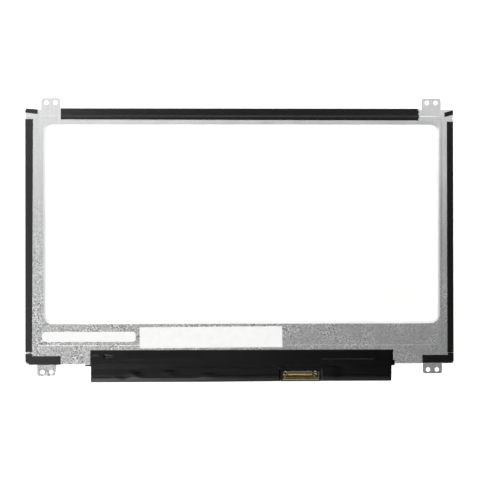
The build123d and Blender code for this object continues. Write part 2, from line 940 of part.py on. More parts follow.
# Display cable socket: moulded housing, stamped contacts and a folded shell
contact_row_x = socket_x + contact_row_shift
mouth_width = contact_count * contact_pitch + 2 * mouth_side_margin
housing_width = socket_width - 2 * socket_end_margin
mouth_floor = board_back + contact_level
housing_top_level = board_back + socket_height
housing = Rect(
    socket_x - housing_width / 2, socket_x + housing_width / 2, socket_front, socket_back - contact_tail
)
mouth = Rect(
    contact_row_x - mouth_width / 2,
    contact_row_x + mouth_width / 2,
    housing.bottom,
    housing.bottom + socket_roof_length + socket_window_length,
)
with BuildPart() as socket_housing:
    extrude(flat_face(board_back, housing), amount=socket_height)
    # Lower step along the rear, where the contact tails come out
    rear_step = housing._replace(bottom=housing.top - socket_rear_step)
    extrude(flat_face(housing_top_level, rear_step), amount=-socket_rear_drop, mode=Mode.SUBTRACT)
    # Lower step along the front, under the shell's lip
    front_step = housing._replace(top=housing.bottom + shell_lip_length + shell_step + shell_thickness)
    extrude(flat_face(housing_top_level, front_step), amount=-shell_step, mode=Mode.SUBTRACT)
    # Channel for the plug, open to the lower edge, with a slit for the contacts through the rear wall
    extrude(flat_face(mouth_floor, mouth), amount=socket_height - contact_level, mode=Mode.SUBTRACT)
    slit = mouth._replace(bottom=mouth.top, top=housing.top)
    extrude(flat_face(mouth_floor, slit), amount=contact_thickness + contact_clearance, mode=Mode.SUBTRACT)
save(socket_housing, "socket_housing")

contact_section = strip_section(
    Plane.YZ.offset(-contact_width / 2),
    Side.RIGHT,
    contact_thickness,
    [
        (socket_back, board_back),
        (housing.top + contact_tail / 2, board_back),
        (housing.top + contact_tail / 4, mouth_floor),
        (housing.bottom + contact_tail / 2, mouth_floor),
    ],
    [1.5 * contact_thickness, contact_thickness],
)
with BuildPart() as socket_contacts:
    with Locations((contact_row_x, 0, 0)):
        with GridLocations(contact_pitch, 0, contact_count, 1):
            add(extrude(contact_section, amount=contact_width, mode=Mode.PRIVATE))
save(socket_contacts, "socket_contacts")

# Shell: a roof over the channel, a stepped lip in front, and an arm and an ear at each end
roof_back = housing.bottom + socket_roof_length
lip_back = housing.bottom + shell_lip_length
lip_level = housing_top_level - shell_step
with BuildPart() as socket_shell:
    extrude(
        strip_section(
            Plane.YZ.offset(housing.left),
            Side.RIGHT,
            shell_thickness,
            [
                (roof_back, housing_top_level),
                (lip_back + shell_step, housing_top_level),
                (lip_back, lip_level),
                (housing.bottom, lip_level),
            ],
            [shell_thickness / 2, shell_thickness / 2],
        ),
        amount=housing_width,
    )
    socket_left = socket_x - socket_width / 2
    socket_right = socket_x + socket_width / 2
    lip = Rect(socket_left, socket_right, housing.bottom, lip_back)
    extrude(flat_face(lip_level, lip), amount=shell_thickness)
    arms = lip._replace(top=socket_back - shell_arm_back)
    for arm in (
        arms._replace(right=socket_left + shell_arm_width),
        arms._replace(left=socket_right - shell_arm_width),
    ):
        extrude(flat_face(board_back, arm), amount=lip_level - board_back + shell_thickness)
    with BuildSketch(Plane.XY.offset(housing_top_level)):
        for ear_left, ear_right in ((housing.left, mouth.left), (mouth.right, housing.right)):
            ear_x = (ear_left + ear_right) / 2
            ear_width = ear_right - ear_left
            with Locations((ear_x, roof_back)):
                Rectangle(ear_width, 2 * (shell_ear_length - ear_width / 2))
            with Locations((ear_x, roof_back + shell_ear_length - ear_width / 2)):
                Circle(ear_width / 2)
                Circle(shell_ear_hole / 2, mode=Mode.SUBTRACT)
    extrude(amount=shell_thickness)
save(socket_shell, "socket_shell")

# Components on the board, under the film
controller_x = socket_x - controller_from_socket
power_chip_x = board.left + power_chip_from_board_left
backlight_chip_x = board.left + backlight_chip_from_board_left
chip("timing_controller", controller_size, controller_height, controller_x)
chip("power_chip", power_chip_size, power_chip_height, power_chip_x)
chip("backlight_chip", backlight_chip_size, backlight_chip_height, backlight_chip_x)
with BuildPart() as board_inductors:
    with BuildSketch(Plane.XY.offset(board_back)):
        with Locations((board.left + inductors_from_board_left, chip_line_y)):
            with GridLocations(inductor_pitch, 0, 2, 1):
                Rectangle(inductor_size, inductor_size)
    extrude(amount=inductor_height)
    chamfer(board_inductors.edges().filter_by(Axis.Z), inductor_size / 6)
save(board_inductors, "board_inductors")
component_row(
    "board_capacitors",
    capacitor_count,
    capacitor_pitch,
    capacitor_length,
    capacitor_width,
    capacitor_height,
    board.right - capacitors_from_board_right,
)
component_row(
    "board_resistors",
    resistor_count,
    resistor_pitch,
    resistor_length,
    resistor_width,
    resistor_height,
    socket_x - resistors_from_socket,
)

# Socket for the light strip's tail
with BuildPart() as backlight_socket:
    tail_socket = Rect(
        tail_x - backlight_socket_width / 2,
        tail_x + backlight_socket_width / 2,
        tail_slot_y - backlight_socket_depth,
        tail_slot_y,
    )
    extrude(flat_face(board_back, tail_socket), amount=backlight_socket_height)
    tail_slot = Rect(
        tail_x - tail_width / 2 - backlight_slot_clearance,
        tail_x + tail_width / 2 + backlight_slot_clearance,
        tail_slot_y - backlight_slot_depth,
        tail_slot_y,
    )
    slot_level = board_back + backlight_slot_level - backlight_slot_clearance
    extrude(
        flat_face(slot_level, tail_slot),
        amount=flex_thickness + 2 * backlight_slot_clearance,
        mode=Mode.SUBTRACT,
    )
save(backlight_socket, "backlight_socket")
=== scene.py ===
import math

import bmesh
import bpy
from mathutils import Matrix, Vector, noise


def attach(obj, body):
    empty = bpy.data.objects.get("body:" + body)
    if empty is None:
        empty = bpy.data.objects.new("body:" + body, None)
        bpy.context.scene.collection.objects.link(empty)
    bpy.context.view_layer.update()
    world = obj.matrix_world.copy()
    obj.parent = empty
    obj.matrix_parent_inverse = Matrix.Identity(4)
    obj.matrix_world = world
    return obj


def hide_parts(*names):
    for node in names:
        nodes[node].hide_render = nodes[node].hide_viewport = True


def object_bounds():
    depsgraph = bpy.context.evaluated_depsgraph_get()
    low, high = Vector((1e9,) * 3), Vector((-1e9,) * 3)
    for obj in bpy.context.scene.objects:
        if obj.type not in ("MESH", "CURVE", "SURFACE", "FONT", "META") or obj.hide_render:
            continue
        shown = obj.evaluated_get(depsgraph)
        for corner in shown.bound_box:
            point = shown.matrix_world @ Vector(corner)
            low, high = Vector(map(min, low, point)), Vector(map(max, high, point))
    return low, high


# A slim laptop screen panel lying face down, seen from straight above, on a white light table.
# Pieces are worked in millimetres in the part's own frame; lights and the camera stand in metres.
MM = 0.001

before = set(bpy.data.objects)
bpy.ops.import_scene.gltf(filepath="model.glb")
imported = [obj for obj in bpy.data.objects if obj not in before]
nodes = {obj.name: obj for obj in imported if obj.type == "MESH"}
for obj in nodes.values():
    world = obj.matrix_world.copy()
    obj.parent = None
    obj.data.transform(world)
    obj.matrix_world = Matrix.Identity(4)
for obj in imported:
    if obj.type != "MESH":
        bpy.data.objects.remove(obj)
cad_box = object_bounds()

# Cover film: its edges as seen from the rear, with a small ear at the right
film_top, film_bottom = -68.55, -88.8
film_left, film_right = -93.5, 95.75
film_lower_left, film_lower_right = -93.2, 94.8
film_trim_top = -78.5
film_ear_right, film_ear_top = 96.8, -75.2
film_thickness = 0.1

# Cover film: the run of its outer side from the frame over the board to the fold on the front
frame_edge = -77.62
slope_end = -80.02
shoulder_start = -86.0
fold_end = -84.2
level_on_frame, level_on_board, level_under_shoulder, level_folded = 2.8, 2.37, 0.99, 0.37

# Cover film: its cut-out round the cable socket
notch_left, notch_right, notch_top = 25.05, 50.75, -80.8

# Creases of the film on the frame: start, end, height and half width
frame_creases = (
    ((50.2, -74.6), (84, -74.65), 0.14, 0.26),
    ((50.2, -75.75), (60, -75.8), 0.1, 0.26),
    ((-92.9, -71.9), (-87.4, -71.8), 0.14, 0.28),
    ((-92.9, -70.3), (-89.5, -70.3), 0.09, 0.28),
)
highest_crease = 0.14

# Humps of the film over the board's components: middle, half widths in X and Y, and height
board_humps = (
    ((-66, -84.2), (4, 1.8), 0.35),
    ((-44, -83), (4, 1.6), 0.25),
    ((-76, -86.3), (3.5, 1.0), 0.3),
    ((-20, -85), (6, 1.6), 0.22),
)

# Small opening in the frame that the film dips into
opening_left, opening_right, opening_bottom = -85.55, -79.45, -74.1
opening_dip = 0.33

# Cable socket
socket_x = 37.9
contact_count = 30
contact_pitch = 0.5
contact_row_x = socket_x - 0.5


def linear(hex_code):
    """Linear colour with full alpha from an sRGB hex value."""
    channels = [int(hex_code[i:i + 2], 16) / 255 for i in (1, 3, 5)]
    return [c / 12.92 if c <= 0.04045 else ((c + 0.055) / 1.055) ** 2.4 for c in channels] + [1.0]


def per_mm(size):
    """Texture scale that gives features of about this size in millimetres."""
    return 1 / (size * MM)


def add_node(tree, kind, settings=None, links=None):
    """Adds a node, sets its inputs, properties and ramp steps, and links inputs to other nodes' outputs."""
    node = tree.nodes.new(kind)
    for key, value in (settings or {}).items():
        if key == "steps":
            elements = node.color_ramp.elements
            while len(elements) < len(value):
                elements.new(1.0)
            for element, (position, hex_code) in zip(elements, value):
                element.position, element.color = position, linear(hex_code)
        elif isinstance(key, int) or key in node.inputs:
            node.inputs[key].default_value = value
        else:
            setattr(node, key, value)
    for key, output in (links or {}).items():
        tree.links.new(output, node.inputs[key])
    return node


def new_material(name, settings):
    """A material with one principled shader, and the object's own coordinates to pattern it by."""
    material = bpy.data.materials.new(name)
    material.use_nodes = True
    tree = material.node_tree
    tree.nodes.clear()
    shader = add_node(tree, "ShaderNodeBsdfPrincipled", settings)
    add_node(tree, "ShaderNodeOutputMaterial", links={"Surface": shader.outputs["BSDF"]})
    place = add_node(tree, "ShaderNodeTexCoord").outputs["Object"]
    return material, tree, shader, place


def zinc_coated_steel():
    """Steel sheet with a plated zinc coat: a soft grey metal, drawn along by the rolls, with bright crystals.

    The crystals' contrast is painted by place, as painted glints: strongest along the lower left, weaker to
    the right and gone towards the top, following how the light falls on them.
    The real ones are a few tenths of a millimetre wide; they are drawn about 0.6 mm wide so that they show.
    Every pressed face keeps its own flat normal, and the gently sloped lip, found by how far its faces tilt,
    gets a painted highlight:
    near white that stands in for the light it catches. So the lip and the drawn steps show as clear bands.
    """
    crystal_width, patch_width, roll_line_width = 0.62, 9, 1.6
    material, tree, shader, place = new_material("zinc_coated_steel_plated", {"Metallic": 1.0})
    cells = add_node(
        tree, "ShaderNodeTexVoronoi", {"Scale": per_mm(crystal_width)}, {"Vector": place}
    ).outputs["Color"]
    crystals = add_node(tree, "ShaderNodeSeparateColor", links={"Color": cells}).outputs["Red"]
    patches = add_node(
        tree, "ShaderNodeTexNoise", {"Scale": per_mm(patch_width), "Detail": 1.0}, {"Vector": place}
    ).outputs["Fac"]
    stretched = add_node(
        tree, "ShaderNodeMapping", {"Scale": (1, 0.02, 1)}, {"Vector": place}
    ).outputs["Vector"]
    roll_lines = add_node(
        tree, "ShaderNodeTexNoise", {"Scale": per_mm(roll_line_width), "Detail": 1.0}, {"Vector": stretched}
    ).outputs["Fac"]

    axes = add_node(tree, "ShaderNodeSeparateXYZ", links={"Vector": place}).outputs
    # Painted glints: the crystals' contrast is set by place, strongest to the lower left and fading to the
    # right and the top, as the light falls on them.
    low = add_node(
        tree, "ShaderNodeMapRange",
        {"From Min": 35 * MM, "From Max": -40 * MM, "To Min": 0.1, "To Max": 1.0}, {"Value": axes["Y"]},
    ).outputs["Result"]
    left = add_node(
        tree, "ShaderNodeMapRange",
        {"From Min": 110 * MM, "From Max": -20 * MM, "To Min": 0.5, "To Max": 1.0}, {"Value": axes["X"]},
    ).outputs["Result"]
    patchy = add_node(
        tree, "ShaderNodeMapRange",
        {"From Min": 0.38, "From Max": 0.6, "To Min": 0.45, "To Max": 1.0}, {"Value": patches},
    ).outputs["Result"]
    painted_glint_low_left = add_node(
        tree, "ShaderNodeMath", {"operation": "MULTIPLY"}, {0: low, 1: left}
    ).outputs["Value"]
    coarse = add_node(
        tree, "ShaderNodeMath", {"operation": "MULTIPLY"}, {0: painted_glint_low_left, 1: patchy}
    ).outputs["Value"]

    rolled = add_node(
        tree, "ShaderNodeValToRGB", {"steps": [(0.3, "#c6c7c7"), (0.7, "#cfcfcf")]}, {"Fac": roll_lines}
    ).outputs["Color"]
    speckled = add_node(
        tree, "ShaderNodeValToRGB",
        {"steps": [(0.05, "#6c6d6c"), (0.3, "#b4b5b5"), (0.7, "#cfcfcf"), (0.95, "#fcfcfb")]},
        {"Fac": crystals},
    ).outputs["Color"]
    flat = add_node(
        tree, "ShaderNodeMix", {"data_type": "RGBA"}, {0: coarse, 6: rolled, 7: speckled}
    ).outputs[2]

    pressed = add_node(tree, "ShaderNodeNewGeometry").outputs["True Normal"]
    tree.links.new(pressed, shader.inputs["Normal"])
    upright = add_node(tree, "ShaderNodeSeparateXYZ", links={"Vector": pressed}).outputs["Z"]
    # Painted highlight: faces tilted like the lip are coloured near white, standing in for the light they
    # catch.
    painted_lip_highlight = add_node(
        tree, "ShaderNodeValToRGB",
        {"steps": [(0.97, "#000000"), (0.982, "#ffffff"), (0.994, "#ffffff"), (0.9985, "#000000")]},
        {"Fac": upright},
    ).outputs["Color"]
    color = add_node(
        tree, "ShaderNodeMix", {"data_type": "RGBA", 7: linear("#fcfcfc")}, {0: painted_lip_highlight, 6: flat}
    ).outputs[2]
    tree.links.new(color, shader.inputs["Base Color"])
    roughness = add_node(
        tree, "ShaderNodeMapRange", {"To Min": 0.38, "To Max": 0.48}, {"Value": patches}
    ).outputs["Result"]
    tree.links.new(roughness, shader.inputs["Roughness"])
    return material


def plain_finish(name, settings, dark, light, grain_mm, bump_mm=0.0):
    """A finish whose colour drifts between two close tones, with a faint relief of the same grain.

    A real grain that is too fine to show is drawn as coarse as it needs to be.
    """
    material, tree, shader, place = new_material(name, settings)
    grain = add_node(
        tree, "ShaderNodeTexNoise", {"Scale": per_mm(grain_mm), "Detail": 3.0}, {"Vector": place}
    ).outputs["Fac"]
    color = add_node(
        tree, "ShaderNodeValToRGB", {"steps": [(0.35, dark), (0.65, light)]}, {"Fac": grain}
    ).outputs["Color"]
    tree.links.new(color, shader.inputs["Base Color"])
    if bump_mm:
        bump = add_node(
            tree, "ShaderNodeBump", {"Strength": 0.3, "Distance": bump_mm * MM}, {"Height": grain}
        ).outputs["Normal"]
        tree.links.new(bump, shader.inputs["Normal"])
    return material


def display_face():
    """Polariser film with an anti-glare coat: a hazed dark grey picture area inside a black border."""
    half_width, half_height, middle = 128.05 * MM, 72.0 * MM, 5.2 * MM
    material, tree, shader, place = new_material("polariser_film_hard_coated", {"Roughness": 0.3, "IOR": 1.5})
    from_middle = add_node(
        tree, "ShaderNodeMapping",
        {"Location": (0, -middle / half_height, 0), "Scale": (1 / half_width, 1 / half_height, 0)},
        {"Vector": place},
    ).outputs["Vector"]
    share = add_node(
        tree, "ShaderNodeVectorMath", {"operation": "ABSOLUTE"}, {0: from_middle}
    ).outputs["Vector"]
    axes = add_node(tree, "ShaderNodeSeparateXYZ", links={"Vector": share}).outputs
    larger = add_node(
        tree, "ShaderNodeMath", {"operation": "MAXIMUM"}, {0: axes["X"], 1: axes["Y"]}
    ).outputs["Value"]
    border = add_node(
        tree, "ShaderNodeMath", {"operation": "GREATER_THAN", 1: 1.0}, {0: larger}
    ).outputs["Value"]
    haze = add_node(
        tree, "ShaderNodeTexNoise", {"Scale": per_mm(2), "Detail": 3.0}, {"Vector": place}
    ).outputs["Fac"]
    picture = add_node(
        tree, "ShaderNodeValToRGB", {"steps": [(0.35, "#17191c"), (0.65, "#1c1e21")]}, {"Fac": haze}
    ).outputs["Color"]
    color = add_node(
        tree, "ShaderNodeMix", {"data_type": "RGBA", 7: linear("#060607")}, {0: border, 6: picture}
    ).outputs[2]
    tree.links.new(color, shader.inputs["Base Color"])
    return material


# Black polyester film, calendered: a deep black with a broad, low sheen.
cover_film_black = plain_finish(
    "black_polyester_film_calendered", {"Roughness": 0.22, "IOR": 1.4}, "#030303", "#060606", 6
)
# Gold-plated bronze, stamped: small bright bars.
contact_gold = plain_finish(
    "gold_plated_bronze_stamped", {"Metallic": 1.0, "Roughness": 0.3}, "#e6cc9c", "#f2deb2", 0.6
)
# Tin, reflowed: grey and rather bright.
reflowed_tin = plain_finish(
    "tin_plate_reflowed", {"Metallic": 1.0, "Roughness": 0.3}, "#8f8f8a", "#b4b4ae", 0.4
)
# Bronze with a thin tarnished plate, stamped: dull olive gold.
tarnished_bronze = plain_finish(
    "tarnished_bronze_stamped", {"Metallic": 1.0, "Roughness": 0.38}, "#76703a", "#8b854a", 1.2
)
# The same plate in dull dark brown: painted shade on the lip's band just below the roof's edge and on its
# rounded front edge; the back of the roof, the left arm and the ears take the same brown.
brown_shade_bronze = plain_finish(
    "tarnished_bronze_brown_shade", {"Metallic": 1.0, "Roughness": 0.45}, "#3f3417", "#52441f", 1.0
)
# The same plate, pale and bright: a painted highlight on the socket's lip, where it catches the light.
socket_lip_highlight_bronze = plain_finish(
    "tarnished_bronze_socket_lip_highlight", {"Metallic": 1.0, "Roughness": 0.34}, "#bdbd98", "#d2d2b0", 1.2
)


def dress(material, *names):
    """Gives nodes of the CAD model their finish."""
    for name in names:
        mesh = nodes[name].data
        mesh.materials.clear()
        mesh.materials.append(material)


dress(zinc_coated_steel(), "rear_frame")
dress(cover_film_black, "board_cover_film")
dress(contact_gold, "socket_contacts")
dress(tarnished_bronze, "socket_shell")
dress(display_face(), "front_polariser")
# White voided polyester, extruded: flat, bright and without gloss.
dress(
    plain_finish("white_polyester_extruded", {"Roughness": 0.6, "IOR": 1.57}, "#f2f2f1", "#f6f6f6", 30),
    "reflector_sheet",
)
# Black polyester tape with a satin coat: black with a soft sheen.
dress(
    plain_finish(
        "black_polyester_tape_coated", {"Roughness": 0.26, "IOR": 1.5}, "#0b0b0a", "#121211", 2.5, 0.01
    ),
    "top_tape", "left_tape", "right_tape", "top_left_corner_tape", "top_right_corner_tape",
    "bottom_left_corner_tape", "bottom_right_corner_tape",
)
# Coated label paper, calendered: bare white, a little off the reflector's white.
dress(
    plain_finish("label_paper_calendered", {"Roughness": 0.55, "IOR": 1.5}, "#e6e6e5", "#eaeae9", 4),
    "narrow_label", "wide_label",
)
# Grey polyester tape with a satin coat: dark grey, seen only as two ears below the frame's edge.
dress(
    plain_finish("grey_polyester_tape_coated", {"Roughness": 0.35, "IOR": 1.5}, "#3a3a39", "#464645", 2),
    "driver_cover_tape",
)
# Liquid crystal polymer, moulded: warm brown and matt.
dress(
    plain_finish("liquid_crystal_polymer_moulded", {"Roughness": 0.5, "IOR": 1.6}, "#432e20", "#543b2a", 0.8),
    "socket_housing",
)
# Polariser film, stretched: near black with a soft gloss.
dress(
    plain_finish("polariser_film_stretched", {"Roughness": 0.3, "IOR": 1.5}, "#0b0c0e", "#101114", 3),
    "rear_polariser",
)
# Display glass with the filter's black surround, polished: a sharp gloss on near black.
dress(
    plain_finish("filter_glass_polished", {"Roughness": 0.08, "IOR": 1.52}, "#0c0d10", "#111216", 12),
    "colour_filter_glass",
)
# Display glass with fine metal tracks, polished: a sharp gloss on a greenish grey.
dress(
    plain_finish("array_glass_polished", {"Roughness": 0.06, "IOR": 1.52}, "#2a302f", "#39403f", 12),
    "array_glass",
)
# Black foam tape, cut: dead matt black.
dress(
    plain_finish("black_foam_tape_cut", {"Roughness": 0.8, "IOR": 1.45}, "#0d0d0d", "#161616", 1.0),
    "rim_tape",
)
# White polycarbonate, moulded: slightly warm, soft gloss.
dress(
    plain_finish("white_polycarbonate_moulded", {"Roughness": 0.45, "IOR": 1.58}, "#dcdcd8", "#e6e6e3", 8),
    "moulded_frame",
)
# Clear polyester, embossed with prisms or beads too fine to show: pale with a satin haze.
dress(
    plain_finish("prism_film_embossed", {"Roughness": 0.35, "IOR": 1.57}, "#dfe3e3", "#eaeded", 5),
    "upper_prism_sheet", "lower_prism_sheet", "diffuser_sheet",
)
# Acrylic, cast: a glossy edge with a faint green cast.
dress(
    plain_finish("acrylic_sheet_cast", {"Roughness": 0.1, "IOR": 1.49}, "#d9e4e2", "#e6efed", 20),
    "light_guide_plate",
)
# Polyimide film, laminated: amber brown with a low gloss.
dress(
    plain_finish("polyimide_flex_laminated", {"Roughness": 0.4, "IOR": 1.6}, "#7d4a14", "#93591c", 3),
    "led_flex", "driver_films",
)
# Clear resin filled with phosphor, cast: opaque yellow, a little glossy.
dress(
    plain_finish("phosphor_resin_cast", {"Roughness": 0.3, "IOR": 1.5}, "#e2cc55", "#efdd78", 0.5),
    "led_packages",
)
# Filled epoxy, moulded: charcoal and matt.
dress(
    plain_finish("epoxy_chip_moulded", {"Roughness": 0.5, "IOR": 1.55}, "#141415", "#1c1c1d", 0.3),
    "driver_chips", "timing_controller", "power_chip", "backlight_chip",
)
# Glass-epoxy board under a black solder mask, darkened further as painted shade of the deep recess round the
# socket: near black, with a low gloss.
dress(
    plain_finish("glass_epoxy_board_mask_and_shade", {"Roughness": 0.6, "IOR": 1.35}, "#010201", "#030503", 1.5),
    "control_board",
)
# Ferrite, fired: dull dark grey.
dress(
    plain_finish("ferrite_fired", {"Roughness": 0.6, "IOR": 1.6}, "#2b2b2d", "#363638", 0.6),
    "board_inductors",
)
# Capacitor ceramic, fired: dull tan.
dress(
    plain_finish("ceramic_capacitor_fired", {"Roughness": 0.45, "IOR": 1.6}, "#8a6a45", "#a07d54", 0.4),
    "board_capacitors",
)
# Resistor glaze, fired: glossy black.
dress(
    plain_finish("resistor_glaze_fired", {"Roughness": 0.3, "IOR": 1.5}, "#151517", "#1e1e21", 0.4),
    "board_resistors",
)
# Nylon, moulded: ivory with a soft gloss.
dress(
    plain_finish("nylon_socket_moulded", {"Roughness": 0.5, "IOR": 1.53}, "#d2c9b4", "#ddd5c2", 1.0),
    "backlight_socket",
)


def add_piece(name, bm, materials, smooth=True):
    """Makes an object from a mesh worked in millimetres, and lets it ride on the panel."""
    bmesh.ops.scale(bm, vec=(MM, MM, MM), verts=bm.verts)
    mesh = bpy.data.meshes.new(name)
    bm.to_mesh(mesh)
    bm.free()
    for polygon in mesh.polygons:
        polygon.use_smooth = smooth
    for material in materials:
        mesh.materials.append(material)
    piece = bpy.data.objects.new(name, mesh)
    bpy.context.scene.collection.objects.link(piece)
    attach(piece, "root")
    return piece


def steps(limits, default, fine=()):
    """Places from the first limit to the last through all of them, closer together within the fine spans."""
    places = [limits[0]]
    for a, b in zip(limits, limits[1:]):
        size = next((s for low, high, s in fine if low <= (a + b) / 2 <= high), default)
        count = max(1, round(abs(b - a) / size))
        places += [a + (b - a) * i / count for i in range(1, count + 1)]
    return places


def ease(value, low, high):
    """0 below one limit, 1 above the other, and a soft rise between them."""
    t = min(max((value - low) / (high - low), 0), 1)
    return t * t * (3 - 2 * t)


def hump(value, middle, width):
    """1 at the middle, falling away softly on both sides."""
    return math.exp(-((value - middle) / width) ** 2)


def crease(x, y, start, end, width):
    """Height from 0 to 1 of a soft crease that runs from one place to another."""
    start, end = Vector(start), Vector(end)
    along = end - start
    t = (Vector((x, y)) - start).dot(along) / along.length_squared
    away = (Vector((x, y)) - start - along * min(max(t, 0), 1)).length
    return math.exp(-(away / width) ** 2)


def dip_in_opening(x, y):
    """Share from 0 to 1 of the film's dip into the small opening, whose upper edge falls to the right."""
    below_upper_edge = -71.1 - 0.1 * (x + 85.5) - y
    across = ease(x, opening_left, opening_left + 1.25) * ease(-x, -opening_right, 0.8 - opening_right)
    return across * ease(below_upper_edge, 0, 0.75) * ease(y, opening_bottom, opening_bottom + 1.9)


def relief_on_frame(x, y):
    """How far the film stands off the frame: a slack field, creases, and a dip over the small opening."""
    relief = 0.02 * (0.5 + 0.5 * noise.noise(Vector((x / 13, y / 7, 3.1))))
    relief += 0.1 * ease(x, -76, -70) * ease(-x, 20, 28) * ease(-y, 68.6, 74.2) * ease(y, -74.9, -74.5)
    for start, end, height, width in frame_creases:
        relief += height * crease(x, y, start, end, width)
    dip = dip_in_opening(x, y)
    return min(max(relief, 0), highest_crease) * (1 - ease(5 * dip, 0, 1)) - opening_dip * dip


def relief_on_board(x, y):
    """How far the film bulges over the board: soft waves, humps, a fold and a ripple beside the socket."""
    relief = 0.1 * (0.5 + 0.5 * noise.noise(Vector((x / 11, y / 6, 7.7))))
    for (middle_x, middle_y), (width_x, width_y), height in board_humps:
        relief += height * hump(x, middle_x, width_x) * hump(y, middle_y, width_y)
    relief += 0.25 * crease(x, y, (23.3, -76.5), (26.2, -81), 0.8)
    relief += 0.12 * hump(x, 57, 5) - 0.12 * hump(x, 64, 4)
    return relief


def rounded_path(corners, step):
    """Points along a line of corners in Y and Z, each corner rounded off over its own setback."""
    points = [Vector(corners[0][:2])]
    for before, corner, after in zip(corners, corners[1:], corners[2:]):
        middle, setback = Vector(corner[:2]), corner[2]
        start = middle + (Vector(before[:2]) - middle).normalized() * setback
        end = middle + (Vector(after[:2]) - middle).normalized() * setback
        points += [start.lerp(middle, t / 8).lerp(middle.lerp(end, t / 8), t / 8) for t in range(9)]
    points.append(Vector(corners[-1][:2]))
    path = [points[0]]
    for a, b in zip(points, points[1:]):
        count = max(1, round((b - a).length / step))
        path += [a.lerp(b, i / count) for i in range(1, count + 1)]
    return path


def cover_film():
    """Black film over the board: flat on the frame, down to the board, over a shoulder and folded under."""
    creases_top, creases_bottom, crease_step = -70.8, -76.3, 0.14
    on_frame_rows = steps(
        [film_top, creases_top, creases_bottom], 0.5, [(creases_bottom, creases_top, crease_step)]
    )
    rows = [Vector((y, level_on_frame)) for y in on_frame_rows]
    rows += rounded_path(
        [
            (-76.5, level_on_frame),
            (frame_edge, level_on_frame, 0.3),
            (slope_end, level_on_board, 0.4),
            (shoulder_start, level_on_board, 2.3),
            (film_bottom, level_under_shoulder, 0.25),
            (film_bottom, level_folded, 0.28),
            (fold_end, level_folded),
        ],
        0.24,
    )
    dip_left, dip_right, dip_step = -86, -79, 0.16
    columns = steps(
        [film_left, film_lower_left, dip_left, dip_right, notch_left, notch_right,
         film_lower_right, film_right, film_ear_right],
        0.9, [(dip_left, dip_right, dip_step)],
    )

    bm = bmesh.new()
    grid = []
    for i, row in enumerate(rows):
        tangent = (rows[min(i + 1, len(rows) - 1)] - rows[max(i - 1, 0)]).normalized()
        outward = Vector((tangent.y, -tangent.x))
        y, on_rear = row.x, row.y > 0.95
        on_board = ease(-y, 78.0, 80.5) * ease(y, -88.6, -87.4)
        on_frame = ease(y, -77.9, -77.0) * ease(-y, 68.6, 69.2)
        line = []
        for x in columns:
            point = row
            if on_rear:
                point = row + outward * (on_frame * relief_on_frame(x, y) + on_board * relief_on_board(x, y))
            cut_short = 0.33 * ease(x, -30, 45) * ease(-y, 80, 87)
            line.append(bm.verts.new((x, point.x + cut_short, point.y)))
        grid.append(line)
    for i in range(len(rows) - 1):
        y = (rows[i].x + rows[i + 1].x) / 2
        for j in range(len(columns) - 1):
            x = (columns[j] + columns[j + 1]) / 2
            trimmed = y < film_trim_top and not film_lower_left < x < film_lower_right
            above_ear = y > film_ear_top and x > film_right
            notched = y < notch_top and notch_left < x < notch_right
            if not (trimmed or above_ear or notched):
                bm.faces.new((grid[i][j], grid[i + 1][j], grid[i + 1][j + 1], grid[i][j + 1]))
    bmesh.ops.delete(bm, geom=[v for v in bm.verts if not v.link_faces], context="VERTS")
    film = add_piece("cover_film_creased", bm, [cover_film_black])
    thickness = film.modifiers.new("thickness", "SOLIDIFY")
    thickness.thickness = film_thickness * MM
    thickness.offset = -1
    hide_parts("board_cover_film")


def add_strip(bm, path, x, width, thickness, material_index=0):
    """Adds one bent strip of metal to a mesh, upwards of a path in Y and Z, centred at x."""
    path = [Vector(point) for point in path]
    rings = []
    for i, point in enumerate(path):
        tangent = (path[min(i + 1, len(path) - 1)] - path[max(i - 1, 0)]).normalized()
        raised = point + Vector((tangent.y, -tangent.x)) * thickness
        ring = [(-1, point), (1, point), (1, raised), (-1, raised)]
        rings.append([bm.verts.new((x + side * width / 2, p.x, p.y)) for side, p in ring])
    faces = [rings[0], rings[-1]]
    for a, b in zip(rings, rings[1:]):
        faces += [(a[i], a[(i + 1) % 4], b[(i + 1) % 4], b[i]) for i in range(4)]
    for corners in faces:
        bm.faces.new(corners).material_index = material_index


def add_wire_loop(bm, middle, half_width, half_length, level, radius, material_index):
    """Adds an oval loop of round wire, lying flat at a level."""
    count, sides = 28, 8
    rings = []
    for i in range(count):
        turn = 2 * math.pi * i / count
        out = Vector((math.cos(turn), math.sin(turn), 0))
        point = Vector((middle[0] + half_width * out.x, middle[1] + half_length * out.y, level))
        ring = []
        for j in range(sides):
            around = 2 * math.pi * j / sides
            offset = radius * (math.cos(around) * out + Vector((0, 0, math.sin(around))))
            ring.append(bm.verts.new(point + offset))
        rings.append(ring)
    for a, b in zip(rings, rings[1:] + rings[:1]):
        for j in range(sides):
            face = bm.faces.new((a[j], a[(j + 1) % sides], b[(j + 1) % sides], b[j]))
            face.material_index = material_index


def add_bead(bm, middle, radius, height, material_index):
    """Adds a flattened bead of metal, from level rings between its lowest and its highest point."""
    sides, levels = 14, 8
    middle = Vector(middle)
    rings = []
    for i in range(1, levels):
        rise = math.pi * i / levels
        ring = []
        for j in range(sides):
            turn = 2 * math.pi * j / sides
            out = radius * math.sin(rise) * Vector((math.sin(turn), math.cos(turn), 0))
            ring.append(bm.verts.new(middle + out - Vector((0, 0, height * math.cos(rise)))))
        rings.append(ring)
    lowest, highest = (bm.verts.new(middle + Vector((0, 0, end))) for end in (-height, height))
    faces = []
    for j in range(sides):
        k = (j + 1) % sides
        faces += [(lowest, rings[0][j], rings[0][k]), (highest, rings[-1][k], rings[-1][j])]
        faces += [(a[j], a[k], b[k], b[j]) for a, b in zip(rings, rings[1:])]
    for corners in faces:
        bm.faces.new(corners).material_index = material_index


